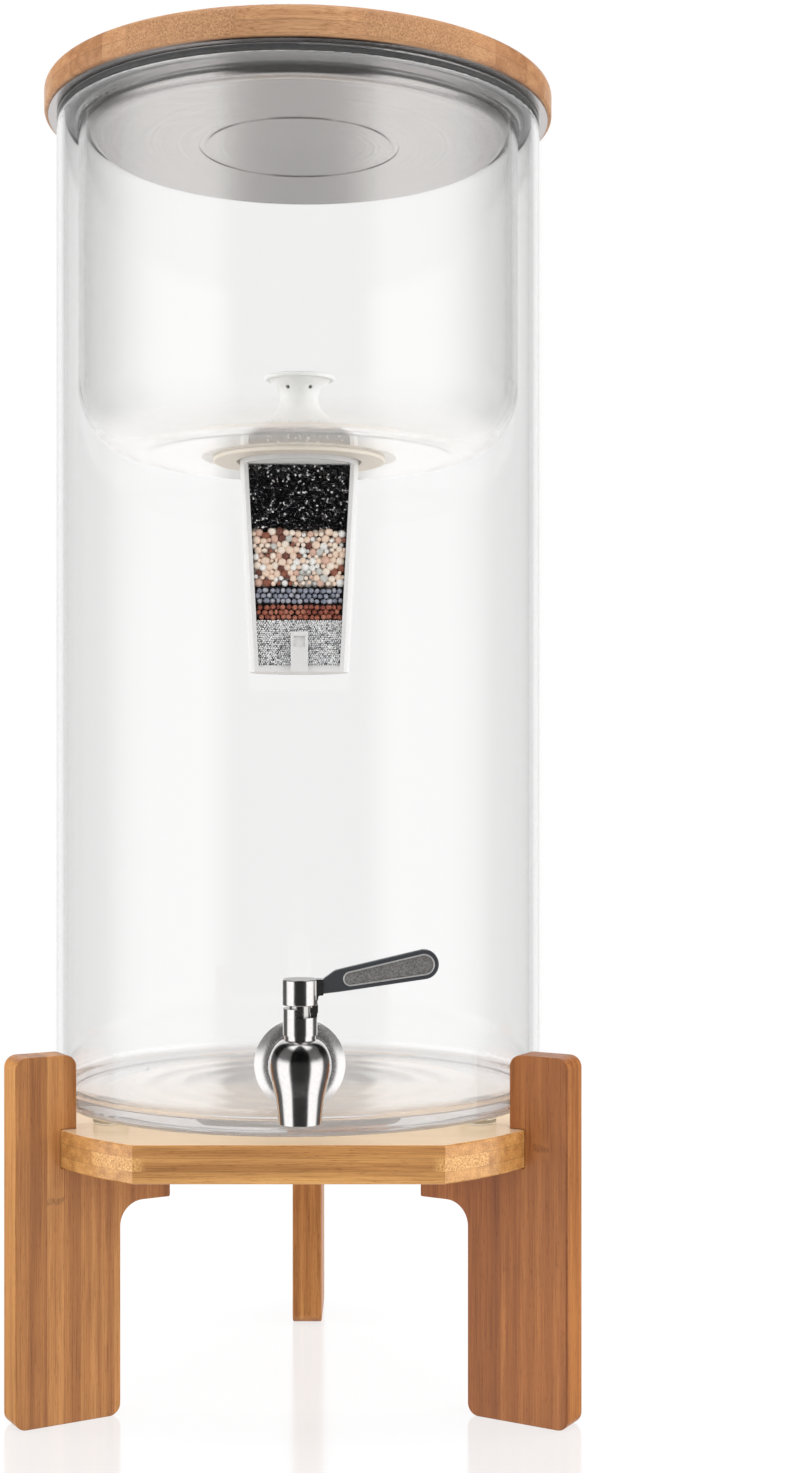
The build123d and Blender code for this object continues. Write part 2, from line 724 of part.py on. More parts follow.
def make_bonnet():
    """Screwed-in bonnet with a quarter notch that limits the lever's turn."""
    body = disc(BONNET_R, BONNET_GROOVE_TOP, BONNET_TOP)
    body += disc(BONNET_GROOVE_R, SHOULDER_Z, BONNET_GROOVE_TOP)
    body += disc(BONNET_THREAD_R, BONNET_SEAT_Z, SHOULDER_Z)
    half = STOP_TAB_ANGLE / 2 + NOTCH_MARGIN
    body -= sector(2 * BONNET_R, -LEVER_TURN - half, half, NOTCH_FLOOR, BONNET_TOP)
    return Pos(0, SPOUT_Y, 0) * (body - disc(STEM_R + STEM_FIT, BONNET_SEAT_Z, BONNET_TOP))


def make_spindle():
    """Valve plug and stem, with an elbow passage that meets the inlet when open."""
    body = disc(PLUG_R, SEAT_Z, BONNET_SEAT_Z - STEM_FIT) + disc(STEM_R, SEAT_Z, STEM_TOP)
    body -= disc(PORT_R, SEAT_Z, INLET_Z)
    side_port = Pos(-PLUG_R / 2, 0, INLET_Z) * Rot(0, 90, 0) * Cylinder(PORT_R, PLUG_R)
    body -= side_port
    for height in RING_AT_Z:
        band = disc(PLUG_R, height - RING_WIDTH / 2, height + RING_WIDTH / 2)
        body -= band - disc(RING_GROOVE_R, height - RING_WIDTH, height + RING_WIDTH)
    return Pos(0, SPOUT_Y, 0) * body


def make_spindle_seals():
    """Two silicone rings lying flush in the spindle's grooves."""
    rings = []
    for height in RING_AT_Z:
        band = disc(PLUG_R, height - RING_WIDTH / 2, height + RING_WIDTH / 2)
        ring = band - disc(RING_GROOVE_R, height - RING_WIDTH, height + RING_WIDTH)
        rings.append(Pos(0, SPOUT_Y, 0) * ring)
    return Compound(children=rings)


def paddle(margin, heel, root):
    """Outline of the blade or, inset by a margin and without the root, of its inlay."""
    heel_x, heel_z, heel_r = heel
    tip_x, tip_z, tip_r = BLADE_TIP
    circles = Pos(heel_x, heel_z) * Circle(heel_r) + Pos(tip_x, tip_z) * Circle(tip_r - margin)
    edges = circles.edges()
    if root:
        low, high = BLADE_ROOT_Z
        edges += [Line((BLADE_ROOT_X, low), (BLADE_ROOT_X, high)).edge()]
    return make_hull(edges)


def make_blade():
    """Lever blade standing on edge, wider towards its tip, with a tongue for the hub."""
    half = BLADE_THICKNESS / 2
    blade = extrude(Plane.XZ * paddle(0, BLADE_HEEL, True), half, both=True)
    sides = [edge for edge in blade.edges() if abs(abs(edge.center().Y) - half) < MATCH]
    tongue = slab((BLADE_TONGUE_X, BLADE_ROOT_X), (-half, half), BLADE_ROOT_Z)
    return fillet(sides, BLADE_EDGE) + tongue


def inlay_outline():
    """Rounded, tapered slot inside the blade's outline."""
    x, z = INLAY_HEEL
    share = (x - BLADE_HEEL[0]) / (BLADE_TIP[0] - BLADE_HEEL[0])
    radius = BLADE_HEEL[2] + share * (BLADE_TIP[2] - BLADE_HEEL[2]) - INLAY_MARGIN
    return paddle(INLAY_MARGIN, (x, z, radius), False)


def inlay_block(depth, inset):
    """The inlay's outline on both faces of the blade, from a depth to an inset below the face."""
    outer = BLADE_THICKNESS / 2 - inset
    inner = BLADE_THICKNESS / 2 - depth
    block = extrude(Plane.XZ * inlay_outline(), outer, both=True)
    return block - extrude(Plane.XZ * inlay_outline(), inner, both=True)


def make_hub(blade):
    """Round hub on the stem with a stop tab and a filleted socket for the blade's tongue."""
    low, high = SOCKET_Z
    socket_outline = [
        (0, low - SOCKET_FILLET),
        (HUB_R, low - SOCKET_FILLET),
        (HUB_R, low),
        (SOCKET_X, low),
        (SOCKET_X, high),
        (0, high),
    ]
    corners = [(HUB_R, low, SOCKET_FILLET / 2), (SOCKET_X, low, HUB_EDGE), (SOCKET_X, high, HUB_EDGE)]
    socket_face = rounded(make_face(Polyline(*socket_outline, close=True)), corners)
    hub = disc(HUB_R, HUB_BOTTOM, HUB_TOP)
    hub = fillet(hub.edges().filter_by(GeomType.CIRCLE), HUB_EDGE)
    hub += extrude(Plane.XZ * socket_face, SOCKET_WIDTH / 2, both=True)
    half = STOP_TAB_ANGLE / 2
    tab = sector(HUB_R, -half, half, STOP_TAB_BOTTOM, STOP_TAB_TOP)
    hub += tab - disc(STOP_TAB_INNER_R, STOP_TAB_BOTTOM, HUB_BOTTOM)
    hub -= disc(STEM_R, HUB_BOTTOM - HUB_EDGE, STEM_TOP)
    side = Rot(90, 0, 0) * Cylinder(SET_SCREW_R, 2 * (HUB_R - STEM_R))
    hub -= Pos(0, HUB_R, (HUB_BOTTOM + HUB_TOP) / 2) * side
    return hub - blade


def make_set_screw():
    """Headless screw that locks the hub on the stem."""
    height = (HUB_BOTTOM + HUB_TOP) / 2
    length = HUB_R - STEM_R
    screw = Pos(0, STEM_R + length / 2, height) * Rot(90, 0, 0) * Cylinder(SET_SCREW_R, length)
    return screw - disc(STEM_R, HUB_BOTTOM, HUB_TOP)


# ---------------------------------------------------------------- write every piece
save("stand_board", make_board())
for leg_name, leg_azimuth in LEG_AZIMUTH.items():
    save(leg_name, on_stand(make_leg(LEG_HEIGHT[leg_name]), leg_azimuth))
save("leg_screws", three_of(make_screw()))
save("leg_inserts", three_of(make_insert()))
save("rest_pads", three_of(make_pad()))

save("tank_glass", make_tank())
save("faucet_body", make_faucet_body())
save("faucet_bonnet", make_bonnet())
save("faucet_flange", make_flange())
save("outer_gasket", make_outer_gasket())
save("inner_gasket", make_inner_gasket())
save("inner_washer", make_washer())
save("shank_nut", make_nut())

lever_place = Pos(0, SPOUT_Y, 0)
blade_blank = make_blade()
save("valve_spindle", make_spindle())
save("spindle_seals", make_spindle_seals())
save("lever_hub", lever_place * make_hub(blade_blank))
save("lever_blade", lever_place * (blade_blank - inlay_block(INLAY_DEPTH, 0)))
save("lever_inlays", lever_place * inlay_block(INLAY_DEPTH, INLAY_DEPTH - INLAY_THICKNESS))
save("hub_screw", lever_place * make_set_screw())

save("bowl_glass", make_bowl())
save("filter_seal", make_seal())

save("cartridge_cup", make_cup())
save("cartridge_cap", make_cap())
save("sight_window", make_window())
for media_name, (media_bottom, media_top) in MEDIA_LEVELS.items():
    save(media_name, make_media(media_bottom, media_top))
save("top_screen", cup_core(CUT_TOP, CUT_TOP + SCREEN_THICKNESS, MEDIA_GAP))
save("bottom_screen", make_media(CUP_BOTTOM + CUP_BASE, CUP_BOTTOM + CUP_BASE + SCREEN_THICKNESS))

save("lid_board", make_lid_board())
save("lid_liner", make_liner())
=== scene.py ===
import math
import random
from typing import NamedTuple

import bmesh
import bpy
from mathutils import Matrix, Vector


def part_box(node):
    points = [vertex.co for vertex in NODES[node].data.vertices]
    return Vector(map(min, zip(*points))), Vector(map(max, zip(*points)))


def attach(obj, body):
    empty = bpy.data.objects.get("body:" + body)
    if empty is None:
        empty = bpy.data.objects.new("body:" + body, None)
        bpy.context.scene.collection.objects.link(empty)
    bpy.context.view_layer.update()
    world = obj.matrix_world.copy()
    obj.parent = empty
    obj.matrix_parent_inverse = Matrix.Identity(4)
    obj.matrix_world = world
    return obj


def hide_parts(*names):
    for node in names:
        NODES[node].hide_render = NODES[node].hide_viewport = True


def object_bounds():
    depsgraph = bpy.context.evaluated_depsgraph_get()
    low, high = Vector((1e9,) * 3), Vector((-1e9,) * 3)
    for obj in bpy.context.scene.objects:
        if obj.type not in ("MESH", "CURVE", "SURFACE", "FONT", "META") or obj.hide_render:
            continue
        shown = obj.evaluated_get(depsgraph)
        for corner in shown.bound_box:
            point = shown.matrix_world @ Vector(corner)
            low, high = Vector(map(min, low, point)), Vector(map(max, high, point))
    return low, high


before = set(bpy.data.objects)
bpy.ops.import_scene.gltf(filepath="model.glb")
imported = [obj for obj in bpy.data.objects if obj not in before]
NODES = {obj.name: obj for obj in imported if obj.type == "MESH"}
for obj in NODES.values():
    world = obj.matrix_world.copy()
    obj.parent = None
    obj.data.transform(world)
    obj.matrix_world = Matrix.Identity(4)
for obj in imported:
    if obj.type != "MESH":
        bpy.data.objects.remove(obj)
CAD_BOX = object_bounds()

MM = 0.001
X, Y, Z = 0, 1, 2


def low(node, axis=Z):
    """A CAD node's lowest coordinate on an axis, in metres, to 0.01 mm."""
    return round(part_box(node)[0][axis], 5)


def high(node, axis=Z):
    """A CAD node's highest coordinate on an axis, in metres, to 0.01 mm."""
    return round(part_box(node)[1][axis], 5)


# ---- places in metres, from the frame ----
FLOOR_Z = CAD_BOX[0][Z]
BOARD_BOTTOM = low("stand_board")
LID_TOP = high("lid_board")
TANK_BOTTOM, TANK_TOP = low("tank_glass"), high("tank_glass")
BOWL_BOTTOM, BOWL_TOP = low("bowl_glass"), high("bowl_glass")
CUP_BOTTOM, CUP_TOP = low("cartridge_cup"), low("cartridge_cap")
PANE_BACK_Y = high("sight_window", Y)
CORE_FRONT_Y = PANE_BACK_Y + 5.0 * MM

# ---- the cup's inside, which the loose grains fill ----
CUP_BOTTOM_R = 0.0196
CUP_TAPER = 0.004
CUP_WALL = 0.0015
CUP_GAP = 0.00025

# ---- the stand is turned a little, and each leg stands at its own azimuth from there ----
STAND_TURN = math.radians(-2.6)
LEG_AZIMUTH = {"leg_left": -150.0, "leg_right": -30.0, "leg_rear": 90.0}

# ---- camera: level, a little left of the faucet's line, nearly half way up the object ----
CAMERA_DISTANCE = 0.8006
CAMERA_SIDE = -0.0018
CAMERA_HEIGHT = 0.2429
CAMERA_LENS = 49.3
CAMERA_SENSOR = 36.0
CAMERA_SHIFT = (0.0049, 0.0200)

# ---- lights: name, place, target, size in metres and power in watts ----
LIGHTS = (
    ("top_light", (0.0, -0.2, 2.0), (0.0, 0.0, 0.0), (2.4, 2.4), 16),
    ("left_light", (-1.1, -1.0, 0.9), (0.0, 0.0, 0.2), (0.7, 1.2), 2),
    ("right_light", (1.1, -1.0, 0.8), (0.0, 0.0, 0.2), (0.7, 1.2), 4),
    ("left_side", (-1.5, 0.2, 0.5), (0.0, 0.0, 0.1), (0.5, 1.0), 11),
    ("right_side", (1.5, 0.2, 0.5), (0.0, 0.0, 0.1), (0.5, 1.0), 11),
)

# ---- studio walls: (share of the half turn from front to back, brightness) ----
MIRRORED_FRONT = [(0.0, 0.035), (0.210, 0.04), (0.245, 1.5), (0.50, 1.4)]
MIRRORED_BACK = [(0.555, 0.11), (0.76, 0.12), (0.86, 0.95)]
INNER_FRONT = [(0.0, 0.06), (0.19, 0.07), (0.23, 1.2), (0.46, 1.1)]
INNER_BACK = [(0.58, 0.16), (0.72, 0.36), (0.86, 1.08), (0.984, 1.14), (0.988, 0.64)]
SEEN_WALLS = [(0.0, 0.92), (0.38, 0.90), (0.54, 0.66), (0.72, 0.72), (0.84, 0.945)]
BACK_WALL_FROM, BACK_WALL_FULL = 0.76, 0.86

# ---- studio by height: stops from 0 straight down to 1 straight up, and limits as a direction's Z ----
MIRRORED_HEIGHTS = [(0.53, 1.0), (0.63, 0.14), (0.90, 0.10), (0.95, 1.0)]
TABLE_FULL, TABLE_FROM = -0.80, -0.60
UPPER_FROM, UPPER_FULL = 0.12, 0.2
UPPER_TINT = (1.07, 1.07, 1.07)
TABLE_COLOUR = (0.72, 0.70, 0.69)
ROOM_COLOUR = (0.96, 0.965, 0.97)
WHITE = (1.0, 1.0, 1.0)

# ---- studio table ----
TABLE_HALF = 1.2
TABLE_DIFFUSE = (0.12, 0.12, 0.12)
TABLE_GLOW = 0.90
TABLE_GLOSS_COLOUR = (0.93, 0.96, 1.0)
TABLE_GLOSS = 0.19
TABLE_ROUGHNESS = 0.13
FADE_FROM, FADE_FULL = 0.35, 1.0

# ---- bamboo: features per metre, their stretch along the grain, and lengths in metres ----
FIBRES = 2300
BANDS = 330
PORES = 3400
CLOUDS = 16
WOBBLES = 420
END_SPECKS = 1500
FIBRE_STRETCH = 0.018
PORE_STRETCH = 0.07
LEG_STRIP = 0.0066
BOARD_STRIP = 0.011
LID_STRIP = 0.017
GLUE_HALF, GLUE_EDGE = 0.08 * MM, 0.3 * MM
PLY_EDGE = 0.12 * MM

# ---- the cane's joints: their spacing in metres, and their stagger and wobble in spacings ----
JOINT_SPACING = 0.19
JOINT_STAGGER = 7.3
JOINT_WOBBLE = 0.02

# ---- where each wooden piece lies in the noise ----
LEG_SEED, LEG_SEED_STEP = 3.7, 11.3
BOARD_SEED = 5.2
LID_SEED = 8.1

# ---- glass: a ramp's 0 to 1 stands for heights from 0 to 0.5 m ----
HEIGHT_SHARE = 2.0

# ---- how deep the fine surface textures are, in metres ----
FIBRE_DEPTH = 0.12 * MM
METAL_DEPTH = 0.04 * MM
MOULD_DEPTH = 0.05 * MM
GRAIN_DEPTH = 0.08 * MM

# ---- fine textures: features per metre ----
FINE = 900
FINER = 1500
FINEST = 2500
BRUSH_LINES = (14, 2600, 900)
GRAIN_SPECKS = 1600


# ---------------------------------------------------------------- node helpers
def new_material(name):
    """A material with an empty principled surface; returns (material, tree, shader)."""
    material = bpy.data.materials.new(name)
    material.use_nodes = True
    tree = material.node_tree
    return material, tree, tree.nodes["Principled BSDF"]


def add(tree, kind, settings=None, inputs=None):
    """Adds a node, sets its properties and its input values."""
    node = tree.nodes.new(kind)
    for name, value in (settings or {}).items():
        setattr(node, name, value)
    set_inputs(node, inputs or {})
    return node


def set_inputs(node, values):
    """Sets values on a node's own sockets."""
    for name, value in values.items():
        node.inputs[name].default_value = value


def put(tree, socket, value):
    """Links a socket, or sets a value, on an input."""
    if isinstance(value, bpy.types.NodeSocket):
        tree.links.new(value, socket)
    elif isinstance(value, tuple) and len(value) == 3 and socket.type == "RGBA":
        socket.default_value = (*value, 1.0)
    elif value is not None:
        socket.default_value = value


def shaded(colour, share):
    """A colour times a share."""
    return tuple(c * share for c in colour)


def even(value):
    """The same value three times, for an even scale or a grey."""
    return (value, value, value)


def ramp(tree, source, stops, interpolation="LINEAR"):
    """Colour ramp on a value; stops is a list of (position, colour or grey)."""
    node = add(tree, "ShaderNodeValToRGB")
    node.color_ramp.interpolation = interpolation
    elements = node.color_ramp.elements
    while len(elements) < len(stops):
        elements.new(1.0)
    for element, (position, colour) in zip(elements, stops):
        shown = colour if isinstance(colour, tuple) else even(colour)
        element.position = position
        element.color = (*shown, 1.0)
    put(tree, node.inputs["Fac"], source)
    return node.outputs["Color"]


def mix(tree, fac, a, b, mode="MIX"):
    """Mixes two colours; each of fac, a and b is a socket or a value."""
    node = add(tree, "ShaderNodeMix", {"data_type": "RGBA", "blend_type": mode})
    for index, value in ((0, fac), (6, a), (7, b)):
        put(tree, node.inputs[index], value)
    return node.outputs[2]


def tinted(tree, colour, tint):
    """A colour times a tint."""
    return mix(tree, 1.0, colour, tint, "MULTIPLY")


def calc(tree, operation, a, b=None, c=None):
    """Math node on sockets or values."""
    node = add(tree, "ShaderNodeMath", {"operation": operation})
    for index, value in enumerate((a, b, c)):
        put(tree, node.inputs[index], value)
    return node.outputs[0]


def times(tree, a, b):
    """Product of two values."""
    return calc(tree, "MULTIPLY", a, b)


def inverse(tree, value):
    """One less a value."""
    return calc(tree, "SUBTRACT", 1.0, value)


def distance(tree, value, other):
    """How far a value is from another."""
    return calc(tree, "ABSOLUTE", calc(tree, "SUBTRACT", value, other))


def off_centre(tree, value):
    """How far a value's fraction is from one half: 0.5 at each whole number, 0 halfway between them."""
    return distance(tree, calc(tree, "FRACT", value), 0.5)


def smooth(tree, value, start, end):
    """0 below start, 1 above end, with a smooth step between them."""
    limits = {"From Min": start, "From Max": end}
    node = add(tree, "ShaderNodeMapRange", {"interpolation_type": "SMOOTHSTEP"}, limits)
    put(tree, node.inputs["Value"], value)
    return node.outputs["Result"]


def place(tree, turn=0.0):
    """Object coordinates turned about Z, as a vector socket."""
    coordinates = add(tree, "ShaderNodeTexCoord")
    return turned(tree, coordinates.outputs["Object"], turn)


def turned(tree, vector, turn):
    """A vector turned about Z."""
    node = add(tree, "ShaderNodeMapping", None, {"Rotation": (0, 0, turn)})
    tree.links.new(vector, node.inputs["Vector"])
    return node.outputs["Vector"]


def scaled(tree, vector, scale, offset=(0, 0, 0)):
    """A vector times a scale, plus an offset."""
    node = add(tree, "ShaderNodeMapping", None, {"Scale": scale, "Location": offset})
    tree.links.new(vector, node.inputs["Vector"])
    return node.outputs["Vector"]


def split(tree, vector):
    """The three parts of a vector."""
    node = add(tree, "ShaderNodeSeparateXYZ")
    tree.links.new(vector, node.inputs["Vector"])
    return node.outputs


def facing(tree):
    """The surface's normal."""
    return add(tree, "ShaderNodeNewGeometry").outputs["Normal"]


def from_axis(tree, x, y):
    """Distance from the vertical axis."""
    return calc(tree, "SQRT", calc(tree, "ADD", times(tree, x, x), times(tree, y, y)))


def noise(tree, vector, detail=2.0, roughness=0.5):
    """Noise value on a vector, one feature per unit."""
    values = {"Scale": 1.0, "Detail": detail, "Roughness": roughness}
    node = add(tree, "ShaderNodeTexNoise", None, values)
    tree.links.new(vector, node.inputs["Vector"])
    return node.outputs["Fac"]


def chance(tree, value):
    """A random number from 0 to 1 for each whole number that value passes."""
    node = add(tree, "ShaderNodeTexWhiteNoise", {"noise_dimensions": "1D"})
    put(tree, node.inputs["W"], calc(tree, "FLOOR", value))
    return node.outputs["Value"]


def bump(tree, shader, height, strength, depth):
    """Bump from a height socket."""
    node = add(tree, "ShaderNodeBump", None, {"Strength": strength, "Distance": depth})
    tree.links.new(height, node.inputs["Height"])
    tree.links.new(node.outputs["Normal"], shader.inputs["Normal"])


def mix_shaders(tree, fac, first, second):
    """Mixes two surfaces; fac is a socket or a value."""
    node = add(tree, "ShaderNodeMixShader")
    for index, value in enumerate((fac, first, second)):
        put(tree, node.inputs[index], value)
    return node.outputs[0]


# ---------------------------------------------------------------- wood
class Plies(NamedTuple):
    """What a board's edge shows: its plies, and the end grain of a ply that runs crosswise. face is a paler
    colour painted on the board's top: painted light from above.
    """
    heights: tuple
    tones: tuple
    cross: tuple
    span: tuple
    face: tuple = None


def stretched_noise(tree, vector, along, scale, stretch, offset, detail=2.0, roughness=0.5):
    """Noise stretched along the grain's axis."""
    scales = (scale, scale, scale * stretch) if along == "Z" else (scale * stretch, scale, scale)
    return noise(tree, scaled(tree, vector, scales, offset), detail, roughness)


def bamboo(name, turn, along, colours, strip, seed, plies=None, coat=0.2):
    """Lacquered laminated bamboo. turn is the plank's azimuth and along the grain's axis.

    colours are dark, middle and light, and strip is the width of one lamination."""
    material, tree, shader = new_material(name)
    dark, middle, light = colours
    vector = place(tree, -turn)
    x, y, z = split(tree, vector)
    across, length = (x, z) if along == "Z" else (y, x)
    lamination = calc(tree, "ADD", calc(tree, "DIVIDE", across, strip), seed)
    tone = chance(tree, lamination)
    offset = (seed, seed * 0.7, seed * 0.4)
    fibres = stretched_noise(tree, vector, along, FIBRES, FIBRE_STRETCH, offset, 3.0, 0.62)
    bands = stretched_noise(tree, vector, along, BANDS, FIBRE_STRETCH, offset)
    pores = stretched_noise(tree, vector, along, PORES, PORE_STRETCH, offset)
    clouds = noise(tree, scaled(tree, vector, even(CLOUDS), offset))
    value = calc(tree, "MULTIPLY_ADD", tone, 0.34, calc(tree, "MULTIPLY_ADD", bands, 0.9, -0.12))
    base = ramp(tree, value, [(0.18, dark), (0.5, middle), (0.82, light)])
    fibre_tints = [(0.30, (0.70, 0.62, 0.54)), (0.50, 1.0), (0.70, (1.14, 1.15, 1.17))]
    base = tinted(tree, base, ramp(tree, fibres, fibre_tints))
    base = tinted(tree, base, ramp(tree, pores, [(0.30, (0.72, 0.62, 0.52)), (0.40, 1.0)]))
    base = tinted(tree, base, ramp(tree, clouds, [(0.3, (0.90, 0.88, 0.86)), (0.7, (1.08, 1.08, 1.08))]))
    base = with_joints(tree, base, vector, length, lamination, tone, pores, colours)
    seam = smooth(tree, off_centre(tree, lamination), 0.488, 0.498)
    base = mix(tree, times(tree, seam, 0.25), base, shaded(dark, 0.6))
    if plies:
        base = with_plies(tree, base, vector, z, plies, colours)
    else:
        # painted highlight: the legs' narrow faces are painted lighter
        base = with_painted_lit_sides(tree, base, turn)
    # Painted light: faces turned upward are painted paler, as if lit from above.
    if plies and plies.face:
        upward = smooth(tree, split(tree, facing(tree))[Z], 0.75, 0.98)
        base = mix(tree, upward, base, mix(tree, 0.75, base, plies.face))
    tree.links.new(base, shader.inputs["Base Color"])
    values = {"Roughness": 0.5, "Coat Weight": coat, "Coat Roughness": 0.16, "IOR": 1.45, "Coat IOR": 1.5}
    set_inputs(shader, values)
    bump(tree, shader, fibres, 0.10, FIBRE_DEPTH)
    return material


def with_joints(tree, base, vector, length, lamination, tone, pores, colours):
    """Dark line with a pale halo where the cane had a joint, on some of the strips."""
    dark, _, light = colours
    staggered = calc(tree, "MULTIPLY_ADD", tone, JOINT_STAGGER, calc(tree, "DIVIDE", length, JOINT_SPACING))
    wobbles = noise(tree, scaled(tree, vector, even(WOBBLES)))
    near = off_centre(tree, calc(tree, "MULTIPLY_ADD", wobbles, JOINT_WOBBLE, staggered))
    line = inverse(tree, smooth(tree, near, 0.002, 0.009))
    halo = inverse(tree, smooth(tree, near, 0.006, 0.035))
    rare = smooth(tree, chance(tree, calc(tree, "ADD", lamination, 31.0)), 0.5, 0.75)
    smudge = times(tree, times(tree, line, rare), smooth(tree, pores, 0.3, 0.62))
    base = mix(tree, times(tree, times(tree, halo, rare), 0.35), base, light)
    return mix(tree, times(tree, smudge, 0.55), base, shaded(dark, 0.35))


def with_painted_lit_sides(tree, base, turn):
    """Paints a plank's narrow faces lighter: a painted highlight for the side light that falls on them."""
    across = split(tree, turned(tree, facing(tree), -turn))[X]
    narrow = smooth(tree, calc(tree, "ABSOLUTE", across), 0.6, 0.95)
    return mix(tree, narrow, base, tinted(tree, base, (1.30, 1.45, 1.50)))


def with_plies(tree, base, vector, z, plies, colours):
    """Tints the plies of a board's edge, with speckled end grain where a cross ply is cut."""
    dark, middle, light = colours
    layered = base
    for height, tone in zip(plies.heights, plies.tones):
        above = smooth(tree, z, height - PLY_EDGE, height + PLY_EDGE)
        layered = mix(tree, above, layered, tinted(tree, base, tone))
        glue = inverse(tree, smooth(tree, distance(tree, z, height), GLUE_HALF, GLUE_EDGE))
        layered = mix(tree, times(tree, glue, 0.35), layered, shaded(dark, 0.5))
    cut = between(tree, z, plies.cross, (0.1 * MM, 0.1 * MM))
    x, _, _ = split(tree, vector)
    cut = times(tree, cut, between(tree, calc(tree, "ABSOLUTE", x), plies.span, (2.0 * MM, 0.4 * MM)))
    upward = calc(tree, "ABSOLUTE", split(tree, facing(tree))[Z])
    cut = times(tree, cut, inverse(tree, smooth(tree, upward, 0.3, 0.8)))
    specks = noise(tree, scaled(tree, vector, even(END_SPECKS)), 2.0, 0.7)
    stops = [(0.34, shaded(dark, 0.8)), (0.5, middle), (0.66, shaded(light, 1.1))]
    return mix(tree, times(tree, cut, 0.75), layered, ramp(tree, specks, stops))


def between(tree, value, limits, edges):
    """1 between two limits and 0 outside them, with an edge of its own width at each limit."""
    start, end = limits
    first, last = edges
    entered = smooth(tree, value, start - first, start + first)
    return times(tree, entered, inverse(tree, smooth(tree, value, end - last, end + last)))


# ---------------------------------------------------------------- glass, metal and plastic
def clear(name, colour, ior=1.47, roughness=0.0, haze=None, tint=1.0):
    """Clear glass or silicone that lets lamps and soft light through to what is behind it.

    haze is a list of (height, clearness, tone) up the piece, and tint weakens its mirror reflections."""
    material, tree, shader = new_material(name)
    values = {"Roughness": roughness, "IOR": ior, "Transmission Weight": 1.0, "Specular IOR Level": 0.2}
    set_inputs(shader, {"Base Color": (*colour, 1.0), "Specular Tint": (*even(tint), 1.0), **values})
    if haze:
        height = times(tree, split(tree, place(tree))[Z], HEIGHT_SHARE)
        clearness = ramp(tree, height, [(HEIGHT_SHARE * z, share) for z, share, _ in haze])
        tone = ramp(tree, height, [(HEIGHT_SHARE * z, tone) for z, _, tone in haze])
        tree.links.new(clearness, shader.inputs["Transmission Weight"])
        tree.links.new(tone, shader.inputs["Base Color"])
    path = add(tree, "ShaderNodeLightPath").outputs
    open_air = add(tree, "ShaderNodeBsdfTransparent", None, {"Color": (*colour, 1.0)}).outputs[0]
    soft = mix_shaders(tree, path["Is Diffuse Ray"], shader.outputs[0], open_air)
    surface = mix_shaders(tree, path["Is Shadow Ray"], soft, open_air)
    tree.links.new(surface, tree.nodes["Material Output"].inputs["Surface"])
    return material


def metal(name, colour, roughness, scale=FINE, strength=0.05, share=1.0, darkest=0.93):
    """Metal, or a coating with a share of metal, with a fine surface grain down to its darkest tone."""
    material, tree, shader = new_material(name)
    set_inputs(shader, {"Base Color": (*colour, 1.0), "Metallic": share, "Roughness": roughness})
    lines = noise(tree, scaled(tree, place(tree), even(scale)), 3.0, 0.6)
    limits = {"From Min": 0.3, "From Max": 0.7, "To Min": roughness * 0.85, "To Max": roughness * 1.2}
    rough = add(tree, "ShaderNodeMapRange", None, limits)
    tree.links.new(lines, rough.inputs["Value"])
    tree.links.new(rough.outputs["Result"], shader.inputs["Roughness"])
    tint = ramp(tree, lines, [(0.35, shaded(colour, darkest)), (0.65, colour)])
    tree.links.new(tint, shader.inputs["Base Color"])
    bump(tree, shader, lines, strength, METAL_DEPTH)
    return material


def brushed(name, colour):
    """Sheet steel brushed along X and spun in rings, whose highlights stretch across the brushing."""
    material, tree, shader = new_material(name)
    vector = place(tree)
    lines = noise(tree, scaled(tree, vector, BRUSH_LINES), 3.0, 0.65)
    x, y, _ = split(tree, vector)
    rings = add(tree, "ShaderNodeTexNoise", {"noise_dimensions": "1D"}, {"Scale": FINE, "Detail": 3.0})
    tree.links.new(from_axis(tree, x, y), rings.inputs["W"])
    both = calc(tree, "MULTIPLY_ADD", rings.outputs["Fac"], 0.5, times(tree, lines, 0.5))
    tint = ramp(tree, both, [(0.36, shaded(colour, 0.86)), (0.64, colour)])
    tree.links.new(tint, shader.inputs["Base Color"])
    set_inputs(shader, {"Metallic": 1.0, "Roughness": 0.22, "Anisotropic": 0.85})
    direction = add(tree, "ShaderNodeCombineXYZ", None, {"Y": 0.9, "Z": 0.4})
    tree.links.new(direction.outputs[0], shader.inputs["Tangent"])
    bump(tree, shader, both, 0.08, METAL_DEPTH)
    return material


def moulded(name, colour, roughness, subsurface=0.0):
    """Moulded plastic, silicone or felt with a faint texture."""
    material, tree, shader = new_material(name)
    speckle = noise(tree, scaled(tree, place(tree), even(FINE)))
    tone = ramp(tree, speckle, [(0.3, shaded(colour, 0.95)), (0.7, colour)])
    tree.links.new(tone, shader.inputs["Base Color"])
    set_inputs(shader, {"Roughness": roughness, "Subsurface Weight": subsurface})
    if subsurface:
        set_inputs(shader, {"Subsurface Radius": (1.0, 0.9, 0.8), "Subsurface Scale": 2.0 * MM})
    bump(tree, shader, speckle, 0.05, MOULD_DEPTH)
    return material


def grain_material(name, palette, roughness, metallic=0.0, coat=0.0):
    """Loose grains, each its own colour from the palette of (share, colour)."""
    material, tree, shader = new_material(name)
    total = sum(share for share, _ in palette)
    stops, position = [], 0.0
    for share, colour in palette:
        stops.append((position, colour))
        position += share / total
    island = add(tree, "ShaderNodeNewGeometry").outputs["Random Per Island"]
    colour = ramp(tree, island, stops, "CONSTANT")
    speckle = noise(tree, scaled(tree, place(tree), even(GRAIN_SPECKS)))
    tone = ramp(tree, speckle, [(0.3, 0.8), (0.7, 1.08)])
    tree.links.new(tinted(tree, colour, tone), shader.inputs["Base Color"])
    set_inputs(shader, {"Roughness": roughness, "Metallic": metallic, "Coat Weight": coat})
    bump(tree, shader, speckle, 0.15, GRAIN_DEPTH)
    return material


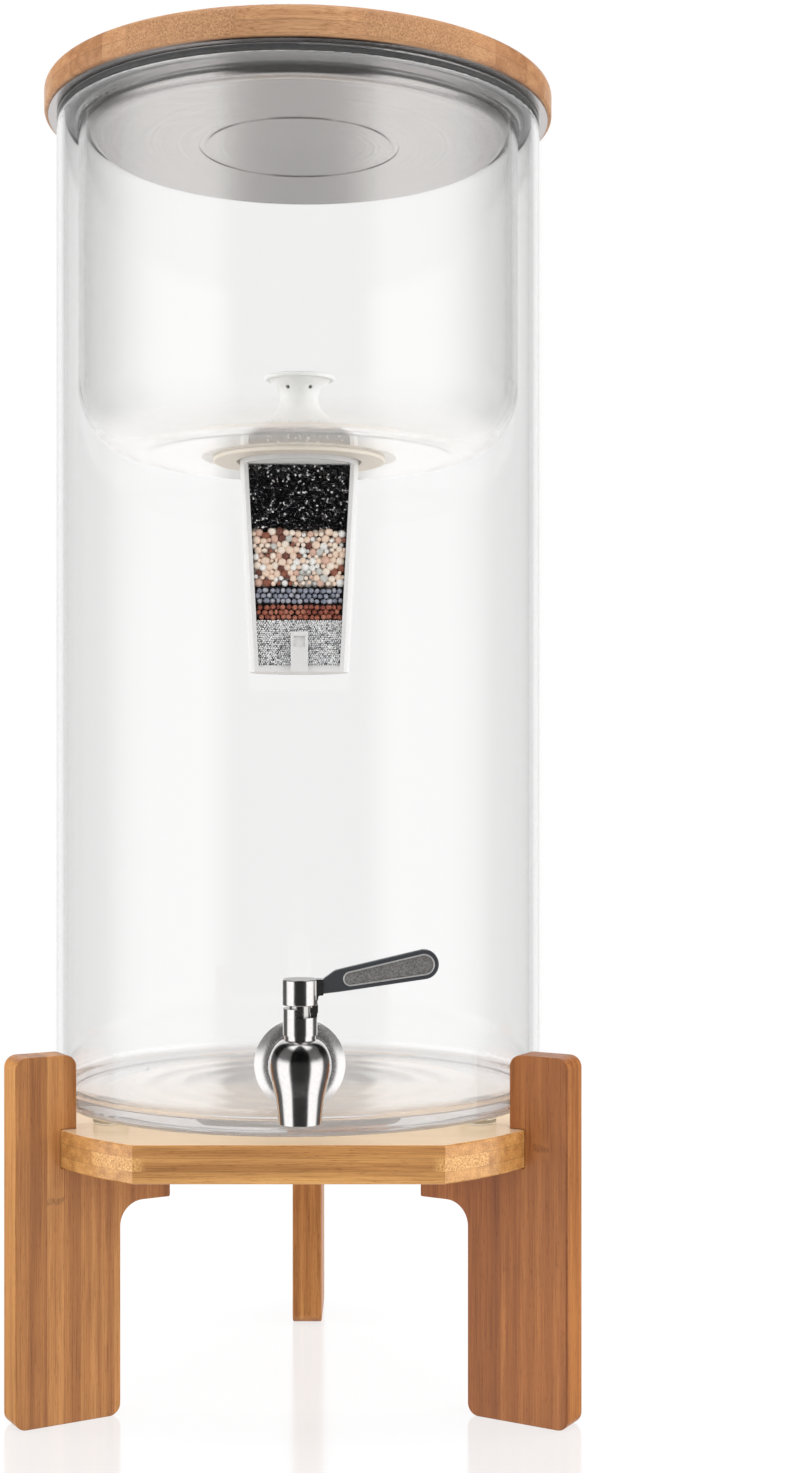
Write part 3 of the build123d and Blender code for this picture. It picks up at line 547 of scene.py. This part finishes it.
def dress(material, *nodes):
    """Gives CAD nodes their finish."""
    for node in nodes:
        for slot in NODES[node].material_slots:
            slot.material = material


# ---------------------------------------------------------------- filter media
class Layer(NamedTuple):
    """A layer of loose grains in front of a CAD node of filter media."""
    name: str
    node: str
    overlaps: tuple     # how far the layer's bottom and top lie above the node's
    radii: tuple        # radii that the grains are drawn from
    spacing: float      # distance between grains in a row
    depths: tuple       # how far back each sheet of grains lies
    rough: float        # how far a grain's shape strays from a ball
    detail: int         # subdivisions of each grain
    passes: int         # passes that push grains apart
    is_smooth: bool
    finish: tuple       # material's name, palette, roughness, and any share of metal and coat


CARBON = [(62, (0.022, 0.022, 0.026)), (26, (0.16, 0.16, 0.17)), (12, (0.95, 0.95, 0.97))]
MIXED = [
    (38, (0.90, 0.70, 0.56)),
    (22, (0.94, 0.82, 0.70)),
    (16, (0.90, 0.89, 0.86)),
    (7, (0.74, 0.48, 0.38)),
    (6, (0.30, 0.10, 0.06)),
    (4, (0.18, 0.06, 0.04)),
    (7, (0.62, 0.61, 0.58)),
]
GREY = [(40, (0.33, 0.35, 0.42)), (30, (0.43, 0.44, 0.50)), (30, (0.25, 0.27, 0.34))]
RED = [(50, (0.38, 0.115, 0.070)), (30, (0.46, 0.17, 0.11)), (20, (0.27, 0.07, 0.045))]
SILVER = [(72, (0.98, 0.98, 0.98)), (18, (0.80, 0.80, 0.82)), (10, (0.38, 0.38, 0.40))]

LAYERS = (
    Layer(
        "carbon_grains", "media_carbon", (0.0001, -0.0002), (0.00042, 0.0005, 0.0007), 0.00098,
        (0.0, 0.0008), rough=0.4, detail=1, passes=0, is_smooth=False,
        finish=("carbon_grain", CARBON, 0.22, 1.0),
    ),
    Layer(
        "mixed_balls", "media_mixed_balls", (0.0, 0.0002), (0.0008, 0.0009, 0.0013, 0.0015, 0.0017),
        0.00242, (0.0, 0.0021), rough=0.0, detail=3, passes=12, is_smooth=True,
        finish=("mixed_ball", MIXED, 0.45),
    ),
    Layer(
        "grey_balls", "media_grey_balls", (-0.0001, 0.0001), (0.00098, 0.00104), 0.00225, (0.0, 0.0017),
        rough=0.04, detail=2, passes=2, is_smooth=True, finish=("grey_ball", GREY, 0.4, 0.0, 0.3),
    ),
    Layer(
        "red_balls", "media_red_balls", (-0.0001, 0.0002), (0.00100, 0.00106), 0.00222, (0.0, 0.0017),
        rough=0.04, detail=2, passes=2, is_smooth=True, finish=("red_ball", RED, 0.45),
    ),
    Layer(
        "silver_grains", "media_silver_beads", (0.0001, 0.0001), (0.0004, 0.00046), 0.00088, (0.0, 0.0006),
        rough=0.25, detail=1, passes=0, is_smooth=True, finish=("silver_grain", SILVER, 0.35),
    ),
)
MEDIA_SEED = 7
ROW_RISE = 0.87             # rise from row to row, in spacings
JITTER = 0.12               # how far a grain strays from its place, in spacings
SIZE_SPREAD = (0.92, 1.08)
CONTACT = 0.96              # grains nearer than this share of both radii together are pushed apart
PUSH = 0.25                 # share of the overlap that each grain gives way in a pass
SETTLE = 0.7                # how near its centre comes to the layer's bottom or top, in radii
DEPTH_SPREAD = 0.25         # how far back a grain may lie, in radii
PANE_GAP = 0.1 * MM
PANE_TOUCH = 0.02 * MM
ANY_ANGLE = 6.28            # radians, a full turn

# the dark backing behind the grains: painted shade in the gaps between them
BULK_LEVELS = 8
BULK_STEP = 12              # degrees between points round the bulk
BULK_GAP = 0.4 * MM
BULK_DEPTH = 0.98


def ball(subdivisions):
    """Points and faces of a unit icosphere."""
    bm = bmesh.new()
    bmesh.ops.create_icosphere(bm, subdivisions=subdivisions, radius=1.0)
    bm.verts.ensure_lookup_table()
    points = [v.co.copy() for v in bm.verts]
    faces = [tuple(v.index for v in f.verts) for f in bm.faces]
    bm.free()
    return points, faces


def clamp(value, least, most):
    """The value, or the limit that it is past."""
    return min(max(value, least), most)


def cup_half_width(z, y):
    """Half the cup's inner width at a height and a depth."""
    share = (z - CUP_BOTTOM) / (CUP_TOP - CUP_BOTTOM)
    radius = CUP_BOTTOM_R + share * CUP_TAPER - CUP_WALL - CUP_GAP
    return math.sqrt(max(radius * radius - y * y, 0.0))


def rows_of_grains(rng, bottom, top, radii, spacing):
    """Grains as [x, z, radius] in staggered rows that fill the cup's width from bottom to top."""
    grains = []
    row, z = 0, bottom + spacing * 0.45
    jitter = spacing * JITTER
    while z < top - spacing * 0.2:
        half = cup_half_width(z, PANE_BACK_Y)
        x = -half + spacing * (0.5 if row % 2 else 1.0) * 0.9
        while x < half - spacing * 0.3:
            across = x + rng.uniform(-jitter, jitter)
            up = z + rng.uniform(-jitter, jitter)
            grains.append([across, up, rng.choice(radii) * rng.uniform(*SIZE_SPREAD)])
            x += spacing
        row += 1
        z += spacing * ROW_RISE
    return grains


def push_apart(grains, bottom, top):
    """Moves grains that overlap away from each other, and back inside the cup and the layer."""
    for i, a in enumerate(grains):
        for b in grains[i + 1:]:
            dx, dz = b[0] - a[0], b[1] - a[1]
            reach = (a[2] + b[2]) * CONTACT
            square = dx * dx + dz * dz
            if 0 < square < reach * reach:
                gap = math.sqrt(square)
                push = (reach - gap) / gap * PUSH
                a[0] -= dx * push
                a[1] -= dz * push
                b[0] += dx * push
                b[1] += dz * push
    for spot in grains:
        x, z, radius = spot
        spot[1] = clamp(z, bottom + radius * SETTLE, top - radius * SETTLE)
        half = cup_half_width(spot[1], PANE_BACK_Y) - radius
        spot[0] = clamp(x, -half, half)


def scatter(rng, layer, depth):
    """Grain places (x, y, z, radius) that fill one sheet of a layer; depth is how far it lies back."""
    bottom = low(layer.node) + layer.overlaps[0]
    top = high(layer.node) + layer.overlaps[1]
    grains = rows_of_grains(rng, bottom, top, layer.radii, layer.spacing)
    for _ in range(layer.passes):
        push_apart(grains, bottom, top)
    places = []
    for x, z, radius in grains:
        y = PANE_BACK_Y + PANE_GAP + radius + depth + rng.uniform(0, radius * DEPTH_SPREAD)
        half = cup_half_width(z, PANE_BACK_Y) - radius
        places.append((clamp(x, -half, half), y, z, radius))
    return places


def make_grains(rng, layer):
    """One mesh of a layer's loose grains."""
    places = [spot for depth in layer.depths for spot in scatter(rng, layer, depth)]
    points, faces = [], []
    ball_points, ball_faces = ball(layer.detail)
    for x, y, z, radius in places:
        angle = rng.uniform(0, ANY_ANGLE)
        axis = Vector((rng.uniform(-1, 1), rng.uniform(-1, 1), 1)).normalized()
        turn = Matrix.Rotation(angle, 3, axis)
        stretch = [1 + rng.uniform(-layer.rough, layer.rough) for _ in range(3)]
        first = len(points)
        for point in ball_points:
            scale = radius * (1 + rng.uniform(-layer.rough, layer.rough) * 0.5)
            moved = turn @ Vector([point[k] * stretch[k] * scale for k in range(3)])
            points.append((x + moved.x, max(y + moved.y, PANE_BACK_Y + PANE_TOUCH), z + moved.z))
        faces += [tuple(first + k for k in face) for face in ball_faces]
    piece = mesh_piece(layer.name, points, faces, grain_material(*layer.finish), layer.is_smooth)
    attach(piece, "cartridge")
    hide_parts(layer.node)


def make_shade_backing():
    """A dark solid behind the loose grains: painted shade, seen through the gaps between them."""
    bottom = low("media_silver_beads") + 0.2 * MM
    top = high("media_carbon") - 0.2 * MM
    levels = [bottom + index * (top - bottom) / BULK_LEVELS for index in range(BULK_LEVELS + 1)]
    arc = [math.radians(angle) for angle in range(0, 181, BULK_STEP)]
    points = []
    for z in levels:
        half = cup_half_width(z, 0.0) - BULK_GAP
        points += [(half * math.cos(a), CORE_FRONT_Y + half * math.sin(a) * BULK_DEPTH, z) for a in arc]
    count = len(arc)
    last = BULK_LEVELS * count
    faces = []
    for row in range(0, last, count):
        for k in range(count):
            j = (k + 1) % count
            faces.append((row + k, row + j, row + count + j, row + count + k))
    faces.append(tuple(reversed(range(count))))
    faces.append(tuple(range(last, last + count)))
    shade_backing = mesh_piece("media_shade_backing", points, faces, moulded("media_shade", (0.05, 0.04, 0.04), 0.9), False)
    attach(shade_backing, "cartridge")


def mesh_piece(name, points, faces, material, is_smooth=True):
    """An object from points and faces."""
    mesh = bpy.data.meshes.new(name)
    mesh.from_pydata(points, [], faces)
    mesh.polygons.foreach_set("use_smooth", [is_smooth] * len(mesh.polygons))
    mesh.materials.append(material)
    mesh.update()
    piece = bpy.data.objects.new(name, mesh)
    bpy.context.scene.collection.objects.link(piece)
    return piece


# ---------------------------------------------------------------- lever bead
INLAY_HEEL_R = 0.00221
INLAY_TIP_R = 0.0033
BEAD_R = 0.00026
BEAD_SINK = 0.02 * MM
BEAD_SIDES = 8
BEAD_STEPS = 24


def inlay_path():
    """Points round the lever's inlay, two round ends and the straight lines between them."""
    heel = (low("lever_inlays", X) + INLAY_HEEL_R, low("lever_inlays") + INLAY_HEEL_R)
    tip = (high("lever_inlays", X) - INLAY_TIP_R, high("lever_inlays") - INLAY_TIP_R)
    run, rise = tip[0] - heel[0], tip[1] - heel[1]
    axis = math.atan2(rise, run)
    lean = math.acos((INLAY_HEEL_R - INLAY_TIP_R) / math.hypot(run, rise))
    tip_end = (tip, INLAY_TIP_R, axis - lean, axis + lean)
    heel_end = (heel, INLAY_HEEL_R, axis + lean, axis + 2 * math.pi - lean)
    path = []
    for centre, radius, start, end in (tip_end, heel_end):
        for step in range(BEAD_STEPS + 1):
            angle = start + (end - start) * step / BEAD_STEPS
            path.append((centre[0] + radius * math.cos(angle), centre[1] + radius * math.sin(angle)))
    return path


def make_lever_beads():
    """Fine bright bead round the inlay on both faces of the lever's blade."""
    path = inlay_path()
    points, faces = [], []
    for face_y in (low("lever_blade", Y) + BEAD_SINK, high("lever_blade", Y) - BEAD_SINK):
        first = len(points)
        for index, (x, z) in enumerate(path):
            before, after = path[index - 1], path[(index + 1) % len(path)]
            dx, dz = after[0] - before[0], after[1] - before[1]
            norm = math.hypot(dx, dz)
            for k in range(BEAD_SIDES):
                angle = 2 * math.pi * k / BEAD_SIDES
                wide, deep = BEAD_R * math.cos(angle), BEAD_R * math.sin(angle)
                points.append((x + dz / norm * wide, face_y + deep, z - dx / norm * wide))
        for index in range(len(path)):
            a = first + index * BEAD_SIDES
            b = first + (index + 1) % len(path) * BEAD_SIDES
            for k in range(BEAD_SIDES):
                j = (k + 1) % BEAD_SIDES
                faces.append((a + k, b + k, b + j, a + j))
    steel = metal("bead_steel", (0.62, 0.61, 0.60), 0.35, share=0.6)
    bead = mesh_piece("lever_beads", points, faces, steel)
    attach(bead, "lever")


# ---------------------------------------------------------------- studio
def mirrored_studio(tree, z, turn):
    """What polished pieces mirror: a dark front, two tall soft boxes, dark flags and a white back."""
    walls = ramp(tree, turn, MIRRORED_FRONT + MIRRORED_BACK)
    rise = calc(tree, "MULTIPLY_ADD", z, 0.5, 0.5)
    lowered = tinted(tree, walls, ramp(tree, rise, MIRRORED_HEIGHTS))
    seen = mix(tree, smooth(tree, turn, BACK_WALL_FROM, BACK_WALL_FULL), lowered, walls)
    return mix(tree, inverse(tree, smooth(tree, z, TABLE_FULL, TABLE_FROM)), seen, TABLE_COLOUR)


def studio_through_glass(tree, z, turn):
    """What is seen straight through the glass."""
    walls = ramp(tree, turn, SEEN_WALLS)
    return mix(tree, smooth(tree, z, UPPER_FROM, UPPER_FULL), walls, tinted(tree, walls, UPPER_TINT))


def make_world():
    """White studio, which mirrors, glass and dull pieces each see in their own way."""
    world = bpy.data.worlds.new("studio")
    bpy.context.scene.world = world
    world.use_nodes = True
    world.cycles.sampling_method = "NONE"
    tree = world.node_tree
    x, y, z = split(tree, add(tree, "ShaderNodeTexCoord").outputs["Generated"])
    angle = calc(tree, "ARCTAN2", x, times(tree, y, -1.0))
    turn = calc(tree, "DIVIDE", calc(tree, "ABSOLUTE", angle), math.pi)
    mirrored = mirrored_studio(tree, z, turn)
    inner = ramp(tree, turn, INNER_FRONT + INNER_BACK)
    through = studio_through_glass(tree, z, turn)

    path = add(tree, "ShaderNodeLightPath").outputs
    crossed_glass = calc(tree, "GREATER_THAN", path["Transmission Depth"], 0.5)
    was_mirrored = calc(tree, "GREATER_THAN", path["Glossy Depth"], 0.5)
    was_scattered = calc(tree, "GREATER_THAN", path["Diffuse Depth"], 0.5)
    colour = mix(tree, path["Is Transmission Ray"], ROOM_COLOUR, through)
    colour = mix(tree, was_mirrored, colour, mix(tree, crossed_glass, mirrored, inner))
    colour = mix(tree, was_scattered, colour, ROOM_COLOUR)
    colour = mix(tree, path["Is Camera Ray"], colour, WHITE)
    tree.links.new(colour, tree.nodes["Background"].inputs["Color"])


def make_floor():
    """Glossy white table that fades into the white studio."""
    material, tree, shader = new_material("studio_white")
    tree.nodes.remove(shader)
    dull = add(tree, "ShaderNodeBsdfDiffuse", None, {"Color": (*TABLE_DIFFUSE, 1.0)})
    glow = add(tree, "ShaderNodeEmission", None, {"Color": (*WHITE, 1.0), "Strength": TABLE_GLOW})
    both = add(tree, "ShaderNodeAddShader")
    tree.links.new(dull.outputs[0], both.inputs[0])
    tree.links.new(glow.outputs[0], both.inputs[1])
    polish = {"Color": (*TABLE_GLOSS_COLOUR, 1.0), "Roughness": TABLE_ROUGHNESS}
    gloss = add(tree, "ShaderNodeBsdfGlossy", None, polish)
    table = mix_shaders(tree, TABLE_GLOSS, both.outputs[0], gloss.outputs[0])
    x, y, _ = split(tree, place(tree))
    fade = smooth(tree, from_axis(tree, x, y), FADE_FROM, FADE_FULL)
    surface = mix_shaders(tree, fade, table, add(tree, "ShaderNodeBsdfTransparent").outputs[0])
    tree.links.new(surface, tree.nodes["Material Output"].inputs["Surface"])
    signs = ((-1, -1), (1, -1), (1, 1), (-1, 1))
    corners = [(TABLE_HALF * side, TABLE_HALF * depth, FLOOR_Z) for side, depth in signs]
    floor = mesh_piece("studio_floor", corners, [(0, 1, 2, 3)], material, False)
    floor.visible_glossy = False


def make_light(name, where, target, size, power):
    """Soft area light aimed at a point, which neither mirrors nor glass show."""
    data = bpy.data.lights.new(name, "AREA")
    data.shape = "RECTANGLE"
    data.size, data.size_y = size
    data.energy = power
    light = bpy.data.objects.new(name, data)
    light.location = where
    light.rotation_euler = (Vector(target) - Vector(where)).to_track_quat("-Z", "Y").to_euler()
    light.visible_glossy = False
    light.visible_transmission = False
    bpy.context.scene.collection.objects.link(light)


def make_camera():
    """Level camera, square to the stand."""
    data = bpy.data.cameras.new("camera")
    data.lens = CAMERA_LENS
    data.sensor_width = CAMERA_SENSOR
    data.shift_x, data.shift_y = CAMERA_SHIFT
    camera = bpy.data.objects.new("camera", data)
    camera.location = (CAMERA_SIDE, -CAMERA_DISTANCE, CAMERA_HEIGHT)
    camera.rotation_euler = (math.radians(90), 0, STAND_TURN)
    bpy.context.scene.collection.objects.link(camera)
    bpy.context.scene.camera = camera


# ---------------------------------------------------------------- finishes of the CAD nodes
LEG_COLOURS = ((0.265, 0.100, 0.026), (0.390, 0.165, 0.047), (0.51, 0.245, 0.080))
# Painted light and shade: each leg gets its own lighter or darker copy of the bamboo colours for how light
# falls on it; the rear leg is painted lighter, the right leg darker.
LEG_PAINTED_LIGHT = {"leg_left": (1.0, 0.95, 0.87), "leg_right": (0.84, 0.67, 0.54), "leg_rear": (1.10, 1.05, 1.00)}
BOARD_COLOURS = ((0.50, 0.230, 0.062), (0.71, 0.365, 0.112), (0.86, 0.51, 0.195))
LID_COLOURS = ((0.325, 0.152, 0.064), (0.43, 0.217, 0.100), (0.515, 0.287, 0.137))
BOARD_SEAMS = (BOARD_BOTTOM + 4.5 * MM, BOARD_BOTTOM + 9.4 * MM)
BOARD_PLIES = Plies(
    heights=BOARD_SEAMS,
    tones=((0.90, 0.86, 0.82), (0.95, 0.91, 0.87)),
    cross=BOARD_SEAMS,
    span=(0.052, 0.0715),
    # the board's top is painted paler: painted light from above
    face=(0.86, 0.68, 0.47),
)
LID_PLIES = Plies(
    heights=(LID_TOP - 6.2 * MM,),
    tones=((1.06, 1.03, 1.0),),
    cross=(LID_TOP - 11.5 * MM, LID_TOP - 1.4 * MM),
    span=(0.022, 0.062),
)

GLASS = (0.992, 0.992, 0.990)
BASE_CLEARNESS, RIM_CLEARNESS = 0.80, 0.93
TANK_BASE_TONE = (0.67, 0.655, 0.65)
BOWL_BASE_TONE = (0.95, 0.94, 0.93)


def haze(bottom, top, base_tone, base_depths, rim_depths):
    """Haze of a piece of glass, which is clear but for its base and its rim.

    Going up, the base clears between its two depths, and the rim hazes over between its own."""
    return [
        (bottom + base_depths[0], BASE_CLEARNESS, base_tone),
        (bottom + base_depths[1], 1.0, GLASS),
        (top - rim_depths[0], 1.0, GLASS),
        (top - rim_depths[1], RIM_CLEARNESS, GLASS),
    ]


def dress_wood():
    """Bamboo for the legs, the board and the lid."""
    for index, (leg, azimuth) in enumerate(LEG_AZIMUTH.items()):
        turn = math.radians(azimuth) + STAND_TURN
        # each leg's colours carry its painted light and shade
        colours = [tuple(c * s for c, s in zip(colour, LEG_PAINTED_LIGHT[leg])) for colour in LEG_COLOURS]
        seed = LEG_SEED + LEG_SEED_STEP * index
        dress(bamboo("bamboo_" + leg, turn, "Z", colours, LEG_STRIP, seed), leg)
    board = bamboo("bamboo_board", STAND_TURN, "X", BOARD_COLOURS, BOARD_STRIP, BOARD_SEED, BOARD_PLIES, 1.0)
    dress(board, "stand_board")
    dress(bamboo("bamboo_lid", 0.0, "X", LID_COLOURS, LID_STRIP, LID_SEED, LID_PLIES), "lid_board")


def dress_glass():
    """Glass, the pane and the clear pads."""
    tank_haze = haze(TANK_BOTTOM, TANK_TOP, TANK_BASE_TONE, (5.3 * MM, 9.0 * MM), (3.4 * MM, 1.9 * MM))
    bowl_haze = haze(BOWL_BOTTOM, BOWL_TOP, BOWL_BASE_TONE, (5.7 * MM, 10.7 * MM), (6.2 * MM, 3.7 * MM))
    dress(clear("tank_clear", GLASS, haze=tank_haze, tint=0.5), "tank_glass")
    dress(clear("bowl_clear", GLASS, haze=bowl_haze, tint=0.35), "bowl_glass")
    dress(clear("clear_pane", (0.99, 0.99, 0.99), 1.2), "sight_window")
    dress(clear("clear_silicone", (0.93, 0.95, 0.92), 1.4, 0.12), "rest_pads")


def dress_metal():
    """Steel, brass and the lever's coatings."""
    polished = metal("polished_steel", (0.72, 0.70, 0.69), 0.17)
    dress(polished, "faucet_body", "faucet_bonnet", "lever_hub", "shank_nut")
    dress(metal("satin_steel", (0.78, 0.76, 0.75), 0.24, share=0.88), "faucet_flange")
    dress(metal("spindle_steel", (0.6, 0.58, 0.56), 0.22), "valve_spindle")
    dress(metal("zinc_steel", (0.62, 0.63, 0.65), 0.3), "leg_screws", "inner_washer", "hub_screw")
    dress(metal("brass_insert", (0.75, 0.55, 0.25), 0.3), "leg_inserts")
    dress(brushed("brushed_liner", (0.68, 0.65, 0.64)), "lid_liner")
    dress(metal("gunmetal", (0.078, 0.083, 0.090), 0.36, FINEST, 0.1, 0.45), "lever_blade")
    dress(metal("lever_inlay", (0.26, 0.247, 0.238), 0.5, FINER, 1.0, 0.3, 0.45), "lever_inlays")


def dress_plastic():
    """Plastic, silicone and felt."""
    dress(moulded("cup_plastic", (0.70, 0.695, 0.69), 0.3, 0.15), "cartridge_cup")
    dress(moulded("cap_plastic", (0.82, 0.82, 0.81), 0.3, 0.15), "cartridge_cap")
    dress(moulded("cream_silicone", (0.72, 0.66, 0.58), 0.45, 0.2), "filter_seal")
    silicone = moulded("pale_silicone", (0.75, 0.75, 0.73), 0.4, 0.2)
    dress(silicone, "outer_gasket", "inner_gasket", "spindle_seals")
    dress(moulded("screen_felt", (0.8, 0.8, 0.78), 0.9), "top_screen", "bottom_screen")


# ---------------------------------------------------------------- the scene
bpy.context.scene.view_settings.view_transform = "Standard"
make_camera()
make_world()
make_floor()
for light in LIGHTS:
    make_light(*light)

dress_wood()
dress_glass()
dress_metal()
dress_plastic()

media_rng = random.Random(MEDIA_SEED)
for layer in LAYERS:
    make_grains(media_rng, layer)
make_shade_backing()
make_lever_beads()
